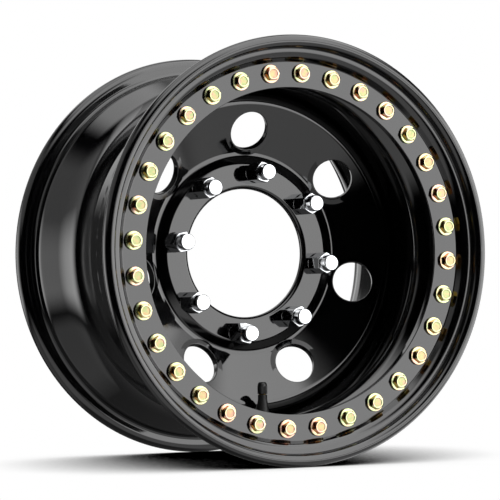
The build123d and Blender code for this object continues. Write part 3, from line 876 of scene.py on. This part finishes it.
stem_angle, stem_plan = circle_plan(64)
stem_rings = [
    ring_at(stem_plan, stem_thread_foot, stem_shank_r + 0.1, 0.0, -1.0),
    ring_at(stem_plan, stem_thread_foot, stem_r - 0.5, 0.0, -1.0),
]
for k in range(stem_thread_rings):
    height = stem_thread_foot + 0.05 + stem_thread_step * k
    phase = np.mod(height / stem_thread_pitch - stem_angle / math.tau, 1)
    groove = stem_thread_depth * np.abs(phase - 0.5) * 2
    taper = max(height - stem_top + stem_chamfer, 0)
    points, normals = ring_at(stem_plan, height, stem_r - np.maximum(groove, taper))
    normals[:, 2] = np.where(phase < 0.5, -stem_thread_lean, stem_thread_lean)
    stem_rings.append((points, normals))
stem_rings += [
    ring_at(stem_plan, stem_top, stem_r - 0.65, 0.0, 1.0),
    ring_at(stem_plan, stem_top, core_bore_r + 0.1, 0.0, 1.0),
    ring_at(stem_plan, stem_top - 0.2, core_bore_r, -1.0, 0.2),
    ring_at(stem_plan, core_seat, core_bore_r, -1.0, 0.0),
    ring_at(stem_plan, core_seat - 0.75, airway_r, -0.7, 0.7),
    ring_at(stem_plan, stem_foot, airway_r, -1.0, 0.0),
    ring_at(stem_plan, stem_foot, stem_shank_r, 0.0, -1.0),
    ring_at(stem_plan, stem_foot + 0.1, stem_shank_r, 1.0, 0.0),
    ring_at(stem_plan, stem_thread_foot - 0.05, stem_shank_r, 1.0, 0.0),
]
stem_skin = lofted(stem_rings)
valve_stem = skinned("valve_threaded_stem", "wheel", [(stem_skin, valve_line)], brass)
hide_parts("valve_stem")

# Moulded plastic cap: black nylon with a satin skin and ribs to grip.
nylon, tree = blank_finish("moulded_black_nylon")
flow_width = 0.9        # millimetres across a flow mark
flow_depth = 0.03
where = node(tree, "ShaderNodeTexCoord").outputs["Object"]
flow = node(tree, "ShaderNodeTexNoise", {"Vector": where, "Scale": 1 / (mm * flow_width), "Detail": 3.0})
dulling = node(tree, "ShaderNodeMapRange", {
    "Value": flow.outputs["Fac"], **noise_span, "To Min": 0.34, "To Max": 0.48,
})
relief = node(tree, "ShaderNodeBump", {
    "Height": flow.outputs["Fac"], "Strength": 0.4, "Distance": mm * flow_depth,
})
moulding = node(tree, "ShaderNodeBsdfPrincipled", {
    "Base Color": linear("#131313"),
    "Roughness": dulling.outputs["Result"],
    "Normal": relief.outputs["Normal"],
})
node(tree, "ShaderNodeOutputMaterial", {"Surface": moulding.outputs["BSDF"]})

cap_r = 4.97
cap_bore_r = 3.97
cap_foot = 22.4
cap_ceiling = 33.1
cap_top = 34.3
rib_count = 24
rib_depth = 0.3
rib_steepness = 1.6
rib_lean = 0.9
cap_angle, cap_plan = circle_plan(144)
rib = np.clip(rib_steepness * np.cos(rib_count * cap_angle), -1, 1)
rib_side = rib_lean * np.sin(rib_count * cap_angle) * (np.abs(rib) < 1)


def cap_ring(height, r, depth, out, rise):
    """A ring of the cap with ribs of so much depth."""
    points, normals = ring_at(cap_plan, height, r - depth * (0.5 - 0.5 * rib), out, rise)
    lean = rib_side * min(depth * 4, 1)
    normals[:, 0] -= lean * np.sin(cap_angle) * out
    normals[:, 1] += lean * np.cos(cap_angle) * out
    return points, normals


cap_rings = [
    ring_at(cap_plan, cap_foot, cap_bore_r, 0.0, -1.0),
    cap_ring(cap_foot, cap_r - 0.3, rib_depth - 0.1, 0.0, -1.0),
    cap_ring(cap_foot + 0.15, cap_r - 0.08, rib_depth - 0.05, 0.7, -0.7),
    cap_ring(cap_foot + 0.4, cap_r, rib_depth, 1.0, 0.0),
    cap_ring(29.6, cap_r, rib_depth, 1.0, 0.0),
    cap_ring(30.1, cap_r - 0.05, rib_depth / 2, 1.0, 0.25),
    ring_at(cap_plan, 30.6, cap_r - 0.12, 1.0, 0.3),
    ring_at(cap_plan, 32.2, cap_r - 0.35, 1.0, 0.35),
    ring_at(cap_plan, 33.3, cap_r - 0.8, 0.8, 0.6),
    ring_at(cap_plan, 34.0, cap_r - 1.45, 0.5, 0.87),
    ring_at(cap_plan, cap_top, cap_r - 2.3, 0.05, 1.0),
    tip_at(cap_top),
    None,
    tip_at(cap_ceiling, -1.0),
    ring_at(cap_plan, cap_ceiling, cap_bore_r, 0.0, -1.0),
    None,
    ring_at(cap_plan, cap_ceiling, cap_bore_r, -1.0, 0.0),
    ring_at(cap_plan, cap_foot, cap_bore_r, -1.0, 0.0),
]
cap_skin = lofted(cap_rings, around=False)
valve_cap = skinned("valve_ribbed_cap", "valve_cap", [(cap_skin, valve_line)], nylon)
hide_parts("valve_cap")

# Sealing plastic: a dyed fluoropolymer ring, waxy and matt.
sealing, tree = blank_finish("dyed_sealing_plastic")
mottle_width = 1.0      # millimetres across a darker patch
where = node(tree, "ShaderNodeTexCoord").outputs["Object"]
mottle = node(tree, "ShaderNodeTexNoise", {"Vector": where, "Scale": 1 / (mm * mottle_width), "Detail": 2.0})
shade = node(tree, "ShaderNodeValToRGB", {"Fac": mottle.outputs["Fac"]})
shade.color_ramp.elements[0].color = linear("#B63A24")
shade.color_ramp.elements[1].color = linear("#CB5136")
waxy = node(tree, "ShaderNodeBsdfPrincipled", {"Base Color": shade.outputs["Color"], "Roughness": 0.45})
node(tree, "ShaderNodeOutputMaterial", {"Surface": waxy.outputs["BSDF"]})

# Drawn spring wire: bright steel, unevenly dulled by the die.
wire, tree = blank_finish("drawn_spring_wire")
die_mark = 0.3          # millimetres across a mark
where = node(tree, "ShaderNodeTexCoord").outputs["Object"]
marks = node(tree, "ShaderNodeTexNoise", {"Vector": where, "Scale": 1 / (mm * die_mark), "Detail": 2.0})
dulling = node(tree, "ShaderNodeMapRange", {"Value": marks.outputs["Fac"], "To Min": 0.22, "To Max": 0.4})
steel = node(tree, "ShaderNodeBsdfPrincipled", {
    "Base Color": linear("#B4B5B6"),
    "Metallic": 1.0,
    "Roughness": dulling.outputs["Result"],
})
node(tree, "ShaderNodeOutputMaterial", {"Surface": steel.outputs["BSDF"]})

# The core's spring is a coil of this wire round the pin, which shortens it by the pin's travel when the pin
# is pressed.
spring_wire_r = 0.17
spring_turns = 4
spring_steps = 40       # along each turn of the coil
wire_sides = 16
spring_low, spring_high = (valve_line.inverted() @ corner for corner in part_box("valve_core_spring"))
coil_steps = spring_turns * spring_steps
coil_r = spring_high.x - spring_wire_r
coil_foot = spring_low.z + spring_wire_r
coil_rise = spring_high.z - spring_wire_r - coil_foot
wire_plan = circle_plan(wire_sides)[1]
coil_rings = []
for k in range(coil_steps + 1):
    angle = math.tau * k / spring_steps
    way = np.array((math.cos(angle), math.sin(angle), 0))
    middle = coil_r * way + (0, 0, coil_foot + coil_rise * k / coil_steps)
    normals = np.outer(wire_plan[:, 0], way) - np.outer(wire_plan[:, 1], (0, 0, 1))
    cut_end = np.array([[-way[1], way[0], 0]])
    if k == 0:
        coil_rings.append((middle[None], -cut_end))
    coil_rings.append((middle + spring_wire_r * normals, normals))
    if k == coil_steps:
        coil_rings.append((middle[None], cut_end))
coil_skin = lofted(coil_rings, around=False)
valve_spring = skinned("valve_wire_coil", "wheel", [(coil_skin, valve_line)], wire)
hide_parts("valve_core_spring")
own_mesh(valve_spring)

core_finishes = {
    "valve_core_plug": brass,
    "valve_core_pin": brass,
    "valve_core_seal": sealing,
    "valve_plunger_seal": rubber,
    "valve_cap_seal": rubber,
}
for name, finish in core_finishes.items():
    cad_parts[name].data.materials[0] = finish


# Studio
# The wheel stands on its lip and back flange on a white floor, in a light tent lit from the right and above.
# The tent is dark on the camera's side, which keeps the coat black where it faces the camera.

lip_foot = mm * Vector((0, lip_depth - hub_inset, -lip_r - lip_tube_r))
stand_length = 225.2    # between the lowest points of the lip and the back flange
floor_lean = math.atan2(lip_r + lip_tube_r - flange_r, stand_length)
floor_size = 5
shade_reach = 220.0     # millimetres over which the wheel shades the floor
shade_full = 0.26       # share of open sky at which the floor is black, and at which it is white
shade_none = 0.80
bpy.ops.mesh.primitive_plane_add(size=floor_size, location=lip_foot, rotation=(floor_lean, 0, 0))
floor = bpy.context.object
floor.name = "floor"

# White floor: plain white paper, with the wheel's shadow painted in, darker where the wheel hides the sky
# from it.
white_floor, tree = blank_finish("white_floor")
openness = node(tree, "ShaderNodeAmbientOcclusion", {"Distance": mm * shade_reach}, samples=16)
painted_floor_shadow = node(tree, "ShaderNodeMapRange", {
    "Value": openness.outputs["AO"],
    "From Min": shade_full,
    "From Max": shade_none,
    "To Min": 0.0,
    "To Max": 1.0,
})
seen = node(tree, "ShaderNodeEmission", {"Color": (1, 1, 1, 1), "Strength": painted_floor_shadow.outputs["Result"]})
node(tree, "ShaderNodeOutputMaterial", {"Surface": seen.outputs["Emission"]})
floor.data.materials.append(white_floor)
floor.visible_glossy = False
floor.visible_diffuse = False
floor.visible_transmission = False
floor.visible_shadow = False

# Each patch of the tent has a left and a right edge, in degrees round from the front to the right, a lower
# and an upper edge, in degrees up, and a brightness. An edge is the stretch over which the patch fades.
tent_patches = [
    ((8, 20), (80, 130), (-30, -12), (18, 30), 2.9),
    ((8, 20), (46, 60), (10, 24), (90, 91), 2.9),
    ((20, 42), (52, 85), (-18, 0), (14, 40), 3.4),
    ((-80, -15), (110, 145), (32, 50), (90, 91), 2.6),
    ((-181, -180), (180, 181), (57, 67), (90, 91), 1.8),
    ((-152, -132), (-120, -80), (-28, -14), (0, 30), 2.6),
    ((-160, -145), (-74, -52), (6, 18), (40, 54), 0.5),
    ((138, 150), (180, 181), (-14, -4), (50, 75), 0.75),
    ((-181, -180), (-173, -166), (-14, -4), (50, 75), 1.0),
    ((-181, -180), (-166, -150), (8, 22), (50, 75), 1.3),
    ((-170, -160), (-150, -140), (-30, -14), (10, 30), 0.08),
    ((70, 90), (125, 140), (-60, -40), (-15, -5), 1.5),
    ((-181, -180), (180, 181), (-91, -90), (-34, -20), 0.12),
    ((-150, -130), (-80, -60), (-75, -55), (-34, -24), 0.4),
    ((-85, -55), (90, 120), (-72, -56), (-30, -18), 0.7),
]
tent_r = 6
bpy.ops.mesh.primitive_uv_sphere_add(segments=64, ring_count=32, radius=tent_r)
tent = bpy.context.object
tent.name = "light_tent"

# Tent cloth: white fabric lit through in patches.
tent_cloth, tree = blank_finish("light_tent_cloth")
tent_cloth.cycles.emission_sampling = "NONE"
where = node(tree, "ShaderNodeTexCoord").outputs["Object"]
way = node(tree, "ShaderNodeVectorMath", {0: where}, operation="NORMALIZE")
parts = node(tree, "ShaderNodeSeparateXYZ", {"Vector": way.outputs["Vector"]})
front = node(tree, "ShaderNodeMath", {0: parts.outputs["Y"], 1: -1.0}, operation="MULTIPLY")
around = node(tree, "ShaderNodeMath", {0: parts.outputs["X"], 1: front.outputs["Value"]}, operation="ARCTAN2")
above = node(tree, "ShaderNodeMath", {0: parts.outputs["Z"]}, operation="ARCSINE")
glow = 0.0
for left, right, low, high, brightness in tent_patches:
    lit = brightness
    edges = ((around, left, 0, 1), (around, right, 1, 0), (above, low, 0, 1), (above, high, 1, 0))
    for angle_of, (first, last), before, after in edges:
        edge = node(tree, "ShaderNodeMapRange", {
            "Value": angle_of.outputs["Value"],
            "From Min": math.radians(first),
            "From Max": math.radians(last),
            "To Min": before,
            "To Max": after,
        }, interpolation_type="SMOOTHSTEP")
        faded = node(tree, "ShaderNodeMath", {0: edge.outputs["Result"], 1: lit}, operation="MULTIPLY")
        lit = faded.outputs["Value"]
    brighter = node(tree, "ShaderNodeMath", {0: lit, 1: glow}, operation="MAXIMUM")
    glow = brighter.outputs["Value"]
seen = node(tree, "ShaderNodeEmission", {"Color": (1, 1, 1, 1), "Strength": glow})
node(tree, "ShaderNodeOutputMaterial", {"Surface": seen.outputs["Emission"]})
tent.data.materials.append(tent_cloth)
tent.visible_camera = False

world = bpy.data.worlds.new("white_backdrop")
bpy.context.scene.world = world
world.use_nodes = True
tree = world.node_tree
tree.nodes.clear()
ray = node(tree, "ShaderNodeLightPath")
mirrored = node(tree, "ShaderNodeMath", {
    0: ray.outputs["Is Glossy Ray"], 1: ray.outputs["Is Transmission Ray"],
}, operation="MAXIMUM")
looked_at = node(tree, "ShaderNodeMath", {
    0: ray.outputs["Is Camera Ray"], 1: mirrored.outputs["Value"],
}, operation="MAXIMUM")
sky = node(tree, "ShaderNodeBackground", {"Color": (1, 1, 1, 1), "Strength": looked_at.outputs["Value"]})
node(tree, "ShaderNodeOutputWorld", {"Surface": sky.outputs["Background"]})


# Camera
# A long lens from the front left, level with the middle of the wheel.
# It is turned a little about its own line of sight.

view_round = math.radians(-27.49)
view_up = math.radians(-0.99)
view_roll = math.radians(-0.94)
view_distance = 3.1410
view_aside = (0.0441, -0.0007)
view_aim = Vector((0, -0.1109, 0))
back = Vector((
    math.sin(view_round) * math.cos(view_up),
    -math.cos(view_round) * math.cos(view_up),
    math.sin(view_up),
))
level = Vector((math.cos(view_round), math.sin(view_round), 0))
rise = back.cross(level)
right = math.cos(view_roll) * level + math.sin(view_roll) * rise
up = math.cos(view_roll) * rise - math.sin(view_roll) * level
lens = bpy.data.cameras.new("camera")
lens.lens = 228.2
lens.sensor_width = 36.0
lens.clip_end = 60
camera = bpy.data.objects.new("camera", lens)
bpy.context.scene.collection.objects.link(camera)
camera.matrix_world = Matrix((right, up, back)).transposed().to_4x4()
camera.location = view_aim + view_distance * back - view_aside[0] * right - view_aside[1] * up
bpy.context.scene.camera = camera
bpy.context.scene.view_settings.view_transform = "Standard"

bpy.context.view_layer.update()
